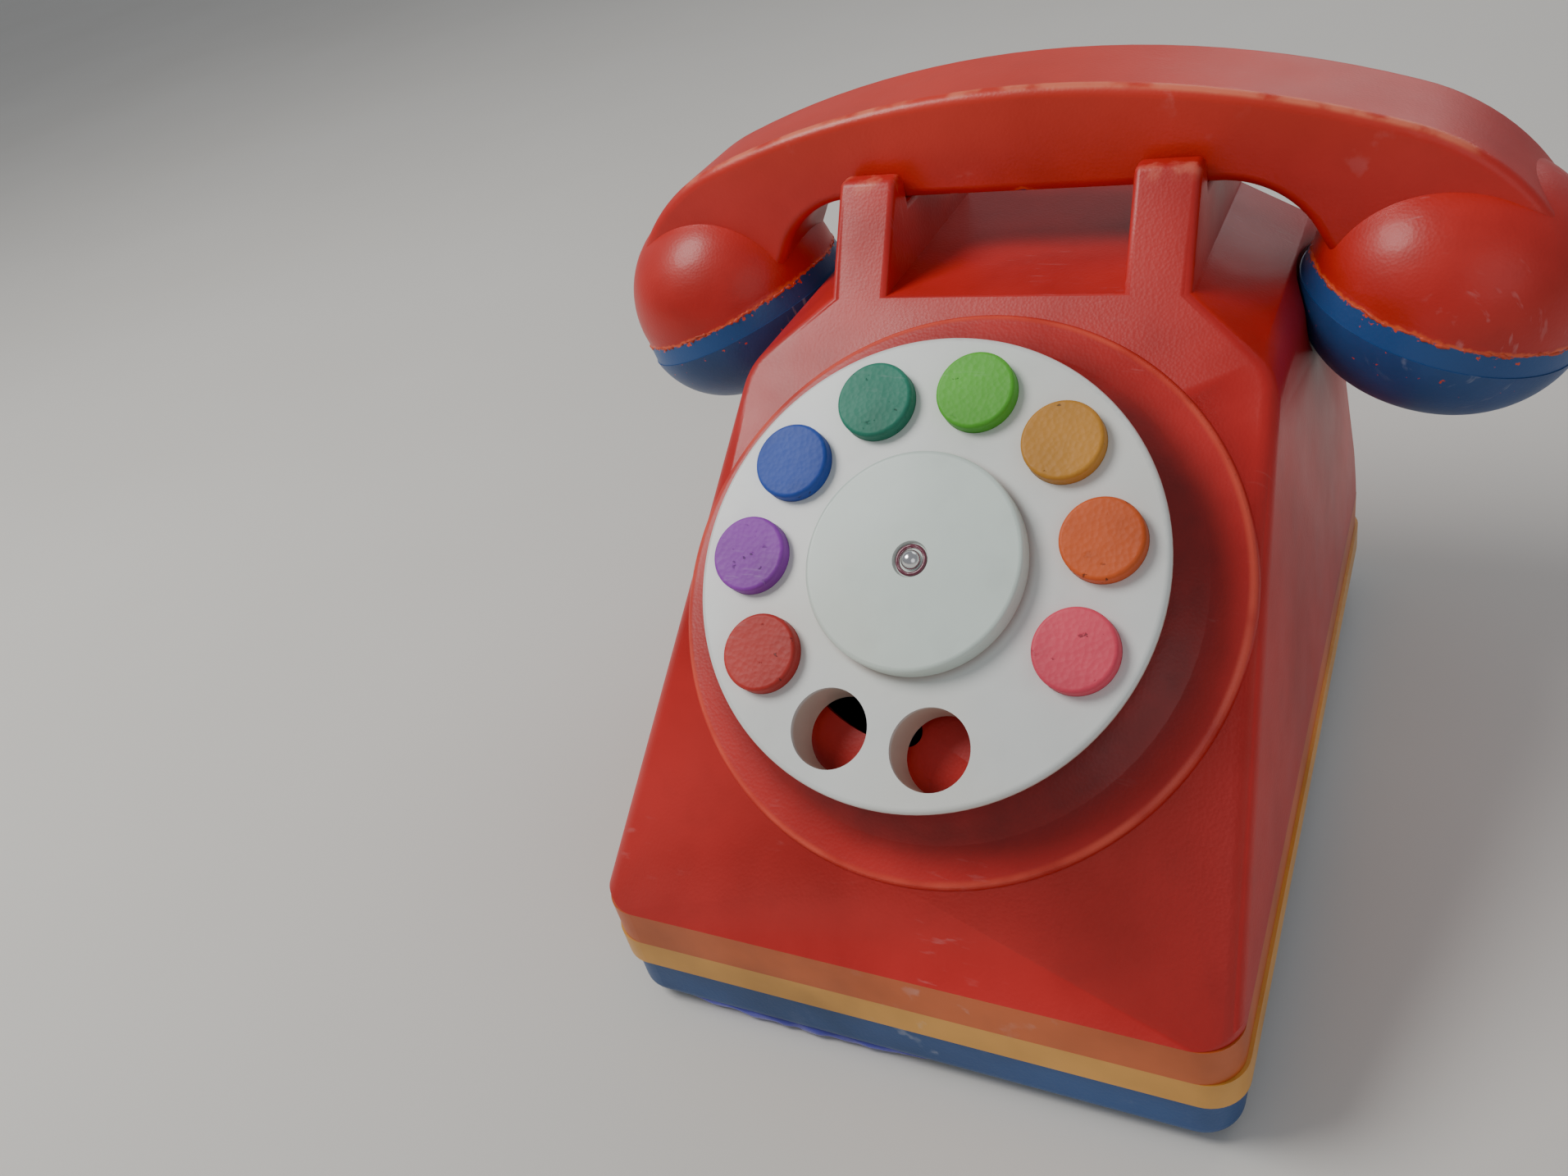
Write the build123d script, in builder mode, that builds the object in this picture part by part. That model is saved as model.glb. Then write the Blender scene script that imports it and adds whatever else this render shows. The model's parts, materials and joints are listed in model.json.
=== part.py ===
"""Toy desk telephone: a wedge housing with a spring-return rotary dial and a lift-off handset.

Frame: X right, Y back, Z up, in millimetres. The origin is the bottom centre of the telephone's box, on the
surface that it stands on. The dial side faces -Y.
"""
import os
from math import cos, radians, sin

from build123d import *

os.makedirs("parts", exist_ok=True)

# ---------------------------------------------------------------- driving dimensions
DEPTH = 180.0                 # front to back, over the base
PLAN_RADIUS = 8.0             # corner radius of the base, in plan
WALL = 2.6                    # wall of the moulded shells
FIT = 0.3                     # gap between pieces that pass each other

FOOT_HEIGHT = 2.0
BASE_TOP = 13.5               # top of the blue base tray
TRIM_TOP = 20.5               # top of the yellow trim band
SKIRT_TOP = 30.0              # top of the orange skirt band, where the housing starts

FACE_TILT = 38.0              # slope of the dial face, from the horizontal
FACE_LENGTH = 141.0           # front edge to crest, along the slope
DIAL_FROM_EDGE = 77.0         # front edge to the dial's axis, along the slope
DIAL_RADIUS = 47.0
DIAL_TOP = 18.0               # dial's top face above the housing's face
DIAL_PLATE = 2.6
HOLE_PITCH_RADIUS = 35.4
HOLE_RADIUS = 7.9
HOLE_COUNT = 10
HOLE_STEP = 34.0              # angle between neighbouring finger holes
FIRST_HOLE_ANGLE = -22.0      # the hole next to the dial's blank stretch
COLLAR_WALL = 1.4
COLLAR_DEPTH = 10.0           # depth of a finger hole, with its collar
HUB_RADIUS = 21.7
HUB_HEIGHT = 4.6
PLUG_RISE = 3.0
SPINDLE_RADIUS = 3.0
RUNNING_GAP = 0.05

PEDESTAL_RADIUS = 44.0        # flat top of the pedestal under the dial
PEDESTAL_HEIGHT = 6.5
BEZEL_RADIUS = 59.5           # outer edge of the round lip on the face
SLOT_RADIUS = 30.5            # stop slot in the pedestal
SLOT_WIDTH = 6.0
SLOT_SPARE = 2.0              # turn left in the slot beyond each end of the pin's travel
STOP_PIN_RADIUS = 1.5
DIAL_TURN = 300.0             # travel of the dial

HANDSET_Y = 56.0              # middle plane of the handset
GRIP_WIDTH = 27.0
GRIP_BOTTOM = 130.5
GRIP_TOP = 153.0
BELL_X = 82.5                 # centre of a bell's rim
BELL_Z = 98.0
BELL_TILT = 19.0
BELL_RADIUS = 28.5
CAP_DEPTH = 19.0

CRADLE_INNER = 26.0
CRADLE_OUTER = 39.5
CRADLE_TOP = 137.5
PLUNGER_RADIUS = 3.0
BUSH_RADIUS = 5.5

# ---------------------------------------------------------------- derived places
FRONT = -DEPTH / 2
BACK = DEPTH / 2
SLOPE_COS = cos(radians(FACE_TILT))
SLOPE_SIN = sin(radians(FACE_TILT))
CREST_Y = FRONT + FACE_LENGTH * SLOPE_COS
CREST_Z = SKIRT_TOP + FACE_LENGTH * SLOPE_SIN
FACE = Plane(
    origin=(0, FRONT + DIAL_FROM_EDGE * SLOPE_COS, SKIRT_TOP + DIAL_FROM_EDGE * SLOPE_SIN),
    x_dir=(1, 0, 0),
    z_dir=(0, -SLOPE_SIN, SLOPE_COS),
)
DIAL_SECTION = Plane(origin=FACE.origin, x_dir=FACE.x_dir, z_dir=-FACE.y_dir)  # radius across, height up
DIAL_AXIS = Axis(FACE.origin, FACE.z_dir)
HOLE_ANGLES = [FIRST_HOLE_ANGLE + i * HOLE_STEP for i in range(HOLE_COUNT)]
PLUG_NAMES = ["pink", "orange", "gold", "lime", "teal", "blue", "purple", "red"]
GRIP_FRONT = HANDSET_Y - GRIP_WIDTH / 2
GRIP_BACK = HANDSET_Y + GRIP_WIDTH / 2
PRONG_BACK = GRIP_FRONT - 2 * FIT
PRONG_REAR = GRIP_BACK + 2 * FIT
SEAT_Z = GRIP_BOTTOM - FIT
PLUNGER_X = (CRADLE_INNER + CRADLE_OUTER) / 2
STOP_PIN_REST = HOLE_ANGLES[8] + HOLE_STEP / 2
STOP_PIN_TIP = PEDESTAL_HEIGHT - WALL + 0.5


def on_dial(angle, radius):
    """Place a point on the dial's face from its angle and its distance from the axis."""
    return radius * cos(radians(angle)), radius * sin(radians(angle))


def save(piece, name):
    """Label a finished piece and write its STEP file."""
    piece.part.label = name
    export_step(piece.part, f"parts/{name}.step")


# ---------------------------------------------------------------- housing
SIDE_BREAK = (58.0, 106.0)    # where the side wall turns into the sloping shoulder
SHOULDER_TOP = (39.5, CREST_Z)
SHOULDER_RADIUS = 9.0
REAR_TOP_Y = 80.0
HOUSING_HALF_WIDTH = 66.0
EDGE_RADIUS = 3.6
PRONG_TOP_DEPTH = 5.6         # prong, front to back, at its tip
PRONG_EASE = 1.6              # rounding of the cradle's long edges


def wedge(inset, edge_radius, bottom):
    """Make the housing's closed outer form, or its core when it is inset by the wall."""
    with BuildPart() as form:
        with BuildSketch(Plane.XZ) as front_outline:
            with BuildLine():
                Polyline(
                    (-HOUSING_HALF_WIDTH, SKIRT_TOP),
                    (-SIDE_BREAK[0], SIDE_BREAK[1]),
                    (-SHOULDER_TOP[0], SHOULDER_TOP[1]),
                    (SHOULDER_TOP[0], SHOULDER_TOP[1]),
                    (SIDE_BREAK[0], SIDE_BREAK[1]),
                    (HOUSING_HALF_WIDTH, SKIRT_TOP),
                    close=True,
                )
            make_face()
            fillet(front_outline.vertices().group_by(Axis.Y)[1], radius=SHOULDER_RADIUS)
            if inset:
                offset(amount=-inset, kind=Kind.INTERSECTION, mode=Mode.REPLACE)
        extrude(amount=DEPTH, both=True)
        with BuildSketch(Plane.YZ):
            with BuildLine():
                Polyline(
                    (FRONT, SKIRT_TOP),
                    (CREST_Y, CREST_Z),
                    (REAR_TOP_Y, CREST_Z),
                    (BACK, SKIRT_TOP),
                    close=True,
                )
            make_face()
            if inset:
                offset(amount=-inset, kind=Kind.INTERSECTION, mode=Mode.REPLACE)
        extrude(amount=2 * HOUSING_HALF_WIDTH, both=True, mode=Mode.INTERSECT)
        lowest = form.faces().sort_by(Axis.Z)[0]
        running = form.edges().filter_by(lambda e: abs(e.tangent_at(0.5).X) < 0.9)
        fillet(running.filter_by(lambda e: e not in lowest.edges()), radius=edge_radius)
        if inset:
            extrude(form.faces().sort_by(Axis.Z)[0], amount=bottom)
    return form.part


BELL_GAP = 1.0                # room between a bell and the housing's shoulder
CAP_FLAT = 10.0               # radius of the flat under a cap


def bell_section(side):
    """Plane through a bell's axis: local X across the rim, local Y up the bell."""
    return Plane(
        origin=(side * BELL_X, HANDSET_Y, BELL_Z),
        x_dir=(cos(radians(BELL_TILT)), 0, -side * sin(radians(BELL_TILT))),
        z_dir=(0, -1, 0),
    )


def bell_axis(side):
    """Axis of a bell, pointing up into the handle."""
    return Axis((side * BELL_X, HANDSET_Y, BELL_Z), (side * sin(radians(BELL_TILT)), 0, cos(radians(BELL_TILT))))


def shoulder_scoops(gap):
    """Make the two round hollows that the bells hang in, with a gap left all round them."""
    with BuildPart() as scoops:
        for side in (-1, 1):
            with BuildSketch(bell_section(side)):
                with BuildLine():
                    rim = BELL_RADIUS + gap
                    Polyline((0, BELL_RADIUS), (0, -CAP_DEPTH - gap), (CAP_FLAT, -CAP_DEPTH - gap))
                    ThreePointArc((CAP_FLAT, -CAP_DEPTH - gap), (0.78 * rim, -0.7 * CAP_DEPTH), (rim, 0))
                    Polyline((rim, 0), (rim, BELL_RADIUS), (0, BELL_RADIUS))
                make_face()
            revolve(axis=bell_axis(side))
    return scoops.part


with BuildPart() as housing_core:
    add(wedge(WALL, EDGE_RADIUS - WALL, 2 * WALL))
    add(shoulder_scoops(BELL_GAP + WALL), mode=Mode.SUBTRACT)

POST_RADIUS = 4.5
POST_PLACES = [(x, y) for x in (-54.0, 54.0) for y in (-76.0, 70.0)]
SCREW_HOLE = 1.3

# Screw posts that hang from the housing's roof, trimmed to stay under its skin.
with BuildPart() as screw_posts:
    with BuildSketch(Plane.XY.offset(SKIRT_TOP)):
        with Locations(*POST_PLACES):
            Circle(POST_RADIUS)
            Circle(SCREW_HOLE, mode=Mode.SUBTRACT)
    extrude(amount=CREST_Z)
    add(wedge(WALL / 2, EDGE_RADIUS - WALL / 2, WALL), mode=Mode.INTERSECT)

# Cradle walls: a prong in front of the grip, a prong behind it, and the seat between them.
with BuildPart() as cradle_walls:
    with BuildSketch(Plane.YZ.offset(CRADLE_INNER)) as cradle_side:
        with BuildLine():
            Polyline(
                (CREST_Y, CREST_Z - WALL / 2),
                (CREST_Y, CREST_Z),
                (PRONG_BACK - PRONG_TOP_DEPTH, CRADLE_TOP),
                (PRONG_BACK, CRADLE_TOP),
                (PRONG_BACK, SEAT_Z),
                (PRONG_REAR, SEAT_Z),
                (PRONG_REAR, CRADLE_TOP),
                (PRONG_REAR + PRONG_TOP_DEPTH, CRADLE_TOP),
                (REAR_TOP_Y, CREST_Z),
                (REAR_TOP_Y, CREST_Z - WALL / 2),
                close=True,
            )
        make_face()
        fillet(cradle_side.vertices().group_by(Axis.Y)[-1], radius=2.4)
    extrude(amount=CRADLE_OUTER - CRADLE_INNER)
    long_edges = cradle_walls.edges().filter_by(lambda e: abs(e.tangent_at(0.5).X) < 0.1)
    fillet(long_edges.filter_by(lambda e: e.center().Z > CREST_Z + 0.5), radius=PRONG_EASE)
    mirror(about=Plane.YZ)

with BuildPart() as housing:
    add(wedge(0, EDGE_RADIUS, 0))
    add(housing_core.part, mode=Mode.SUBTRACT)
    add(screw_posts.part)
    # Round lip, and the cone that carries the pedestal under the dial.
    with BuildSketch(DIAL_SECTION):
        with BuildLine():
            Polyline(
                (0, PEDESTAL_HEIGHT),
                (PEDESTAL_RADIUS, PEDESTAL_HEIGHT),
                (BEZEL_RADIUS - 4.0, 0.5),
                (BEZEL_RADIUS - 2.2, 0.5),
            )
            ThreePointArc((BEZEL_RADIUS - 2.2, 0.5), (BEZEL_RADIUS - 1.0, 1.4), (BEZEL_RADIUS, 0.2))
            Polyline((BEZEL_RADIUS, 0.2), (BEZEL_RADIUS, -WALL / 2), (0, -WALL / 2), (0, PEDESTAL_HEIGHT))
        make_face()
    revolve(axis=DIAL_AXIS)
    with BuildSketch(DIAL_SECTION):
        with BuildLine():
            Polyline(
                (0, -2 * WALL),
                (0, PEDESTAL_HEIGHT - WALL),
                (PEDESTAL_RADIUS - 1.2, PEDESTAL_HEIGHT - WALL),
                (BEZEL_RADIUS - 6.0, -WALL),
                (BEZEL_RADIUS - 6.0, -2 * WALL),
                close=True,
            )
        make_face()
    revolve(axis=DIAL_AXIS, mode=Mode.SUBTRACT)
    add(cradle_walls.part)
    add(shoulder_scoops(BELL_GAP), mode=Mode.SUBTRACT)
    # Passages for the hook plungers, through the cradle seats.
    with BuildSketch(Plane.XY.offset(SEAT_Z)):
        with Locations((-PLUNGER_X, HANDSET_Y), (PLUNGER_X, HANDSET_Y)):
            Circle(PLUNGER_RADIUS + FIT)
    extrude(amount=CREST_Z - SEAT_Z - 2 * WALL, mode=Mode.SUBTRACT)
    # Bore for the dial's bush, and the slot that the dial's stop pin runs in.
    with BuildSketch(FACE.offset(PEDESTAL_HEIGHT)):
        Circle(BUSH_RADIUS)
        with BuildLine():
            slot_start = STOP_PIN_REST - DIAL_TURN - SLOT_SPARE
            slot_span = DIAL_TURN + 2 * SLOT_SPARE
            CenterArc((0, 0), SLOT_RADIUS + SLOT_WIDTH / 2, slot_start, slot_span)
            CenterArc(on_dial(slot_start + slot_span, SLOT_RADIUS), SLOT_WIDTH / 2, slot_start + slot_span, 180)
            CenterArc((0, 0), SLOT_RADIUS - SLOT_WIDTH / 2, slot_start, slot_span)
            CenterArc(on_dial(slot_start, SLOT_RADIUS), SLOT_WIDTH / 2, slot_start + 180, 180)
        make_face()
    extrude(amount=-1.5 * WALL, mode=Mode.SUBTRACT)
    # Ribs that bridge the slot from below.
    with BuildSketch(FACE.offset(PEDESTAL_HEIGHT - WALL)):
        for angle in (60.0, 160.0, STOP_PIN_REST - 6.0):
            with Locations(Location(on_dial(angle, SLOT_RADIUS), angle)):
                Rectangle(SLOT_WIDTH + 8.0, 2.0)
    extrude(amount=-5.0)
save(housing, "housing")

# ---------------------------------------------------------------- bands and base
BAND_WALL = 3.0
TRIM_PROUD = 0.7
BASE_INSET = 0.6
FEET_PLACES = [(x, y) for x in (-38.0, 38.0) for y in (-76.0, 76.0)]
FOOT_RADIUS = 6.0
BATTERY_Y = 30.0
BAY_LENGTH = 64.0
BAY_WIDTH = 33.0
BAY_TOP = 24.0
SPEAKER_Y = -34.0
SPEAKER_RADIUS = 28.0
SCREW_HEAD_RADIUS = 2.9
SCREW_SINK = 3.4              # depth of the screw heads' recesses
SCREW_LENGTH = 31.0


def band(bottom, top, proud):
    """Make one hollow band that runs round the telephone, between two heights."""
    with BuildPart() as ring:
        with BuildSketch(Plane.XY.offset(bottom)):
            RectangleRounded(2 * (HOUSING_HALF_WIDTH + proud), DEPTH + 2 * min(proud, 0), PLAN_RADIUS)
            RectangleRounded(
                2 * (HOUSING_HALF_WIDTH - BAND_WALL), DEPTH - 2 * BAND_WALL, PLAN_RADIUS - BAND_WALL,
                mode=Mode.SUBTRACT,
            )
        extrude(amount=top - bottom)
    return ring


skirt_band = band(TRIM_TOP, SKIRT_TOP, 0)
save(skirt_band, "skirt_band")

trim_band = band(BASE_TOP, TRIM_TOP, TRIM_PROUD)
save(trim_band, "trim_band")

with BuildPart() as base_tray:
    with BuildSketch(Plane.XY.offset(FOOT_HEIGHT)):
        RectangleRounded(2 * (HOUSING_HALF_WIDTH - BASE_INSET), DEPTH - 2 * BASE_INSET, PLAN_RADIUS)
    extrude(amount=BASE_TOP - FOOT_HEIGHT)
    fillet(base_tray.faces().sort_by(Axis.Z)[0].edges(), radius=3.0)
    with BuildSketch(Plane.XY.offset(FOOT_HEIGHT + WALL)):
        RectangleRounded(
            2 * (HOUSING_HALF_WIDTH - BAND_WALL), DEPTH - 2 * BAND_WALL, PLAN_RADIUS - BAND_WALL
        )
    extrude(amount=BASE_TOP, mode=Mode.SUBTRACT)
    # Battery bay: four walls and a lid on the inside, open to the underside.
    with BuildSketch(Plane.XY.offset(FOOT_HEIGHT + WALL / 2)):
        with Locations((0, BATTERY_Y)):
            Rectangle(BAY_LENGTH + 2 * WALL, BAY_WIDTH + 2 * WALL)
    extrude(amount=BAY_TOP - FOOT_HEIGHT)
    with BuildSketch(Plane.XY.offset(FOOT_HEIGHT)):
        with Locations((0, BATTERY_Y)):
            Rectangle(BAY_LENGTH, BAY_WIDTH)
    extrude(amount=BAY_TOP - FOOT_HEIGHT - WALL / 2, mode=Mode.SUBTRACT)
    # Posts for the case screws, recesses for the feet and the sound holes under the speaker.
    with BuildSketch(Plane.XY.offset(FOOT_HEIGHT + WALL / 2)):
        with Locations(*POST_PLACES):
            Circle(POST_RADIUS)
    extrude(amount=SKIRT_TOP - FOOT_HEIGHT - WALL / 2 - FIT)
    with BuildSketch(Plane.XY.offset(FOOT_HEIGHT)):
        with Locations(*POST_PLACES):
            Circle(SCREW_HOLE + 0.4)
    extrude(amount=SKIRT_TOP, mode=Mode.SUBTRACT)
    with BuildSketch(Plane.XY.offset(FOOT_HEIGHT)):
        with Locations(*POST_PLACES):
            Circle(SCREW_HEAD_RADIUS + FIT)
    extrude(amount=SCREW_SINK, mode=Mode.SUBTRACT)
    with BuildSketch(Plane.XY.offset(FOOT_HEIGHT)):
        with Locations((0, SPEAKER_Y)):
            Circle(2.0)
            for ring_radius, hole_count in ((8.0, 6), (16.0, 12)):
                with PolarLocations(ring_radius, hole_count):
                    Circle(2.0)
    extrude(amount=2 * WALL, mode=Mode.SUBTRACT)
save(base_tray, "base_tray")

with BuildPart() as battery_door:
    with BuildSketch(Plane.XY.offset(FOOT_HEIGHT)):
        with Locations((0, BATTERY_Y)):
            Rectangle(BAY_LENGTH - 2 * FIT, BAY_WIDTH - 2 * FIT)
    extrude(amount=WALL)
    with BuildSketch(Plane.XY.offset(FOOT_HEIGHT)):
        with GridLocations(0, 3.0, 1, 5):
            with Locations((0, BATTERY_Y)):
                Rectangle(BAY_LENGTH / 3, 1.2)
    extrude(amount=0.6, mode=Mode.SUBTRACT)
save(battery_door, "battery_door")

CELL_RADIUS = 7.1
CELL_Z = FOOT_HEIGHT + WALL + CELL_RADIUS + FIT
with BuildPart() as battery_cells:
    for side in (-1, 1):
        with BuildSketch(Plane.YZ.offset(-25.0)):
            with Locations((BATTERY_Y + side * (CELL_RADIUS + FIT), CELL_Z)):
                Circle(CELL_RADIUS)
        extrude(amount=49.0)
        with BuildSketch(Plane.YZ.offset(-26.5)):
            with Locations((BATTERY_Y + side * (CELL_RADIUS + FIT), CELL_Z)):
                Circle(2.6)
        extrude(amount=1.5)
save(battery_cells, "battery_cells")

with BuildPart() as battery_contacts:
    for side in (-1, 1):
        with BuildSketch(Plane.YZ.offset(side * (BAY_LENGTH / 2 - 0.7) - 0.3)):
            with Locations((BATTERY_Y, CELL_Z)):
                Rectangle(BAY_WIDTH - 4, 11.0)
        extrude(amount=0.6)
save(battery_contacts, "battery_contacts")

with BuildPart() as rubber_feet:
    with BuildSketch(Plane.XY):
        with Locations(*FEET_PLACES):
            Circle(FOOT_RADIUS)
    extrude(amount=FOOT_HEIGHT)
save(rubber_feet, "rubber_feet")

with BuildPart() as speaker_frame:
    with BuildSketch(Plane.XZ.offset(-SPEAKER_Y)):
        with BuildLine():
            Polyline(
                (20.0, 5.0), (SPEAKER_RADIUS, 5.0), (SPEAKER_RADIUS, 7.0), (24.0, 7.0),
                (14.0, 16.0), (14.0, 24.0), (3.0, 24.0), (3.0, 15.0), (12.5, 15.0), (20.0, 7.0), close=True,
            )
        make_face()
    revolve(axis=Axis((0, SPEAKER_Y, 0), (0, 0, 1)))
save(speaker_frame, "speaker_frame")

with BuildPart() as speaker_cone:
    with BuildSketch(Plane.XZ.offset(-SPEAKER_Y)):
        with BuildLine():
            Polyline((0, 13.2), (6.0, 13.2), (19.4, 6.0), (19.4, 5.2), (5.6, 12.4), (0, 12.4), close=True)
        make_face()
    revolve(axis=Axis((0, SPEAKER_Y, 0), (0, 0, 1)))
save(speaker_cone, "speaker_cone")

BOARD_Z = 30.0
with BuildPart() as sound_board:
    with BuildSketch(Plane.XY.offset(BOARD_Z)):
        with Locations((0, BATTERY_Y)):
            Rectangle(58.0, 36.0)
            with GridLocations(50.0, 28.0, 2, 2):
                Circle(1.6, mode=Mode.SUBTRACT)
    extrude(amount=1.6)
save(sound_board, "sound_board")

with BuildPart() as board_parts:
    with BuildSketch(Plane.XY.offset(BOARD_Z + 1.6)):
        with Locations((-8.0, BATTERY_Y)):
            Rectangle(16.0, 9.0)
        with Locations((14.0, BATTERY_Y + 8.0), (14.0, BATTERY_Y - 8.0)):
            Circle(3.2)
    extrude(amount=4.0)
save(board_parts, "board_parts")

with BuildPart() as board_spacers:
    with BuildSketch(Plane.XY.offset(BAY_TOP + WALL / 2)):
        with Locations((0, BATTERY_Y)):
            with GridLocations(50.0, 28.0, 2, 2):
                Circle(3.0)
    extrude(amount=BOARD_Z - BAY_TOP - WALL / 2)
save(board_spacers, "board_spacers")

with BuildPart() as case_screws:
    with BuildSketch(Plane.XY.offset(FOOT_HEIGHT + SCREW_SINK)):
        with Locations(*POST_PLACES):
            Circle(SCREW_HOLE - 0.1)
    extrude(amount=SCREW_LENGTH)
    with BuildSketch(Plane.XY.offset(FOOT_HEIGHT + SCREW_SINK)):
        with Locations(*POST_PLACES):
            Circle(SCREW_HEAD_RADIUS)
    extrude(amount=-2.0)
    with BuildSketch(Plane.XY.offset(FOOT_HEIGHT + SCREW_SINK - 2.0)):
        with Locations(*POST_PLACES):
            Rectangle(3.6, 0.9)
            Rectangle(0.9, 3.6)
    extrude(amount=1.0, mode=Mode.SUBTRACT)
save(case_screws, "case_screws")

# ---------------------------------------------------------------- dial
COLLAR_BOTTOM = DIAL_TOP - COLLAR_DEPTH
DIAL_UNDERSIDE = DIAL_TOP - DIAL_PLATE
BOSS_RADIUS = 9.0

with BuildPart() as dial_disc:
    with BuildSketch(FACE.offset(DIAL_UNDERSIDE)):
        Circle(DIAL_RADIUS)
    extrude(amount=DIAL_PLATE)
    fillet(dial_disc.edges().filter_by(GeomType.CIRCLE), radius=1.1)
    with BuildSketch(FACE.offset(COLLAR_BOTTOM)):
        for angle in HOLE_ANGLES:
            with Locations(on_dial(angle, HOLE_PITCH_RADIUS)):
                Circle(HOLE_RADIUS + COLLAR_WALL)
        Circle(BOSS_RADIUS)
    extrude(amount=COLLAR_DEPTH - DIAL_PLATE / 2)
    with BuildSketch(FACE.offset(STOP_PIN_TIP)):
        with Locations(on_dial(STOP_PIN_REST, SLOT_RADIUS)):
            Circle(STOP_PIN_RADIUS)
    extrude(amount=DIAL_UNDERSIDE - STOP_PIN_TIP + 0.5)
    with BuildSketch(FACE.offset(COLLAR_BOTTOM)):
        for angle in HOLE_ANGLES:
            with Locations(on_dial(angle, HOLE_PITCH_RADIUS)):
                Circle(HOLE_RADIUS)
        Circle(SPINDLE_RADIUS)
    extrude(amount=2 * COLLAR_DEPTH, mode=Mode.SUBTRACT)
save(dial_disc, "dial_disc")

DIMPLE_RADIUS = 3.6
RIVET_RADIUS = 2.0
with BuildPart() as dial_hub_cap:
    with BuildSketch(FACE.offset(DIAL_TOP)):
        Circle(HUB_RADIUS)
    extrude(amount=HUB_HEIGHT)
    fillet(dial_hub_cap.faces().sort_by(DIAL_AXIS)[-1].edges(), radius=0.9)
    with BuildSketch(FACE.offset(DIAL_TOP + HUB_HEIGHT)):
        Circle(DIMPLE_RADIUS)
    extrude(amount=-0.8, taper=20, mode=Mode.SUBTRACT)
    with BuildSketch(FACE.offset(DIAL_TOP)):
        Circle(SPINDLE_RADIUS)
    extrude(amount=2.2, mode=Mode.SUBTRACT)
save(dial_hub_cap, "dial_hub_cap")

with BuildPart() as dial_rivet:
    with BuildSketch(DIAL_SECTION):
        floor_height = DIAL_TOP + HUB_HEIGHT - 0.8
        with BuildLine():
            Line((0, floor_height), (RIVET_RADIUS, floor_height))
            RadiusArc((RIVET_RADIUS, floor_height), (0, floor_height + RIVET_RADIUS), -RIVET_RADIUS)
            Line((0, floor_height + RIVET_RADIUS), (0, floor_height))
        make_face()
    revolve(axis=DIAL_AXIS)
save(dial_rivet, "dial_rivet")

SPINDLE_END = -18.0
with BuildPart() as dial_spindle:
    with BuildSketch(FACE.offset(SPINDLE_END)):
        Circle(SPINDLE_RADIUS)
    extrude(amount=DIAL_TOP + 2.0 - SPINDLE_END)
save(dial_spindle, "dial_spindle")

BUSH_END = -3.0
with BuildPart() as dial_bush:
    with BuildSketch(FACE.offset(BUSH_END)):
        Circle(BUSH_RADIUS - 0.02)
    extrude(amount=PEDESTAL_HEIGHT - BUSH_END)
    with BuildSketch(FACE.offset(PEDESTAL_HEIGHT)):
        Circle(8.0)
    extrude(amount=1.0)
    with BuildSketch(FACE.offset(BUSH_END)):
        Circle(SPINDLE_RADIUS + RUNNING_GAP)
    extrude(amount=2 * PEDESTAL_HEIGHT, mode=Mode.SUBTRACT)
save(dial_bush, "dial_bush")

WHEEL_TEETH = 24
WHEEL_TIP = 15.0
WHEEL_ROOT = 13.4
with BuildPart() as click_wheel:
    with BuildSketch(FACE.offset(-13.0)):
        with BuildLine():
            rim_points = [
                on_dial(i * 180.0 / WHEEL_TEETH, WHEEL_TIP if i % 2 else WHEEL_ROOT)
                for i in range(2 * WHEEL_TEETH)
            ]
            Polyline(*rim_points, close=True)
        make_face()
        Circle(SPINDLE_RADIUS, mode=Mode.SUBTRACT)
    extrude(amount=3.0)
save(click_wheel, "click_wheel")

SPRING_TURNS = 4.5
SPRING_POINTS = 54
SPRING_STRIP = 0.6


def spiral(offset_out):
    """Points of one side of the flat spiral spring, from the spindle outwards."""
    start, pitch = SPINDLE_RADIUS + 0.1, 2.0
    return [
        on_dial(360.0 * SPRING_TURNS * i / SPRING_POINTS,
                start + offset_out + pitch * SPRING_TURNS * i / SPRING_POINTS)
        for i in range(SPRING_POINTS + 1)
    ]


with BuildPart() as dial_spring:
    with BuildSketch(FACE.offset(-8.5)):
        with BuildLine():
            Spline(*spiral(0))
            Spline(*spiral(SPRING_STRIP))
            Line(spiral(0)[0], spiral(SPRING_STRIP)[0])
            Line(spiral(0)[-1], spiral(SPRING_STRIP)[-1])
        make_face()
    extrude(amount=4.0)
save(dial_spring, "dial_spring")

with BuildPart() as spindle_clip:
    with BuildSketch(FACE.offset(-16.0)):
        Circle(5.5)
        Circle(SPINDLE_RADIUS, mode=Mode.SUBTRACT)
    extrude(amount=0.8)
save(spindle_clip, "spindle_clip")

with BuildPart() as click_spring:
    with BuildSketch(FACE.offset(-13.0)):
        with Locations((-WHEEL_TIP - 1.2, -6.0)):
            Rectangle(0.6, 24.0)
        with Locations((-WHEEL_TIP - 3.0, -17.0)):
            Rectangle(4.0, 2.0)
    extrude(amount=3.0)
save(click_spring, "click_spring")

for name, angle in zip(PLUG_NAMES, HOLE_ANGLES):
    with BuildPart() as plug:
        with BuildSketch(FACE.offset(COLLAR_BOTTOM)):
            with Locations(on_dial(angle, HOLE_PITCH_RADIUS)):
                Circle(HOLE_RADIUS - 0.05)
        extrude(amount=COLLAR_DEPTH + PLUG_RISE)
        fillet(plug.faces().sort_by(DIAL_AXIS)[-1].edges(), radius=0.8)
    save(plug, f"{name}_plug")

# ---------------------------------------------------------------- hook under the handset
YOKE_Z = 98.0
YOKE_THICK = 4.0
BRACKET_Z = 82.0

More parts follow.
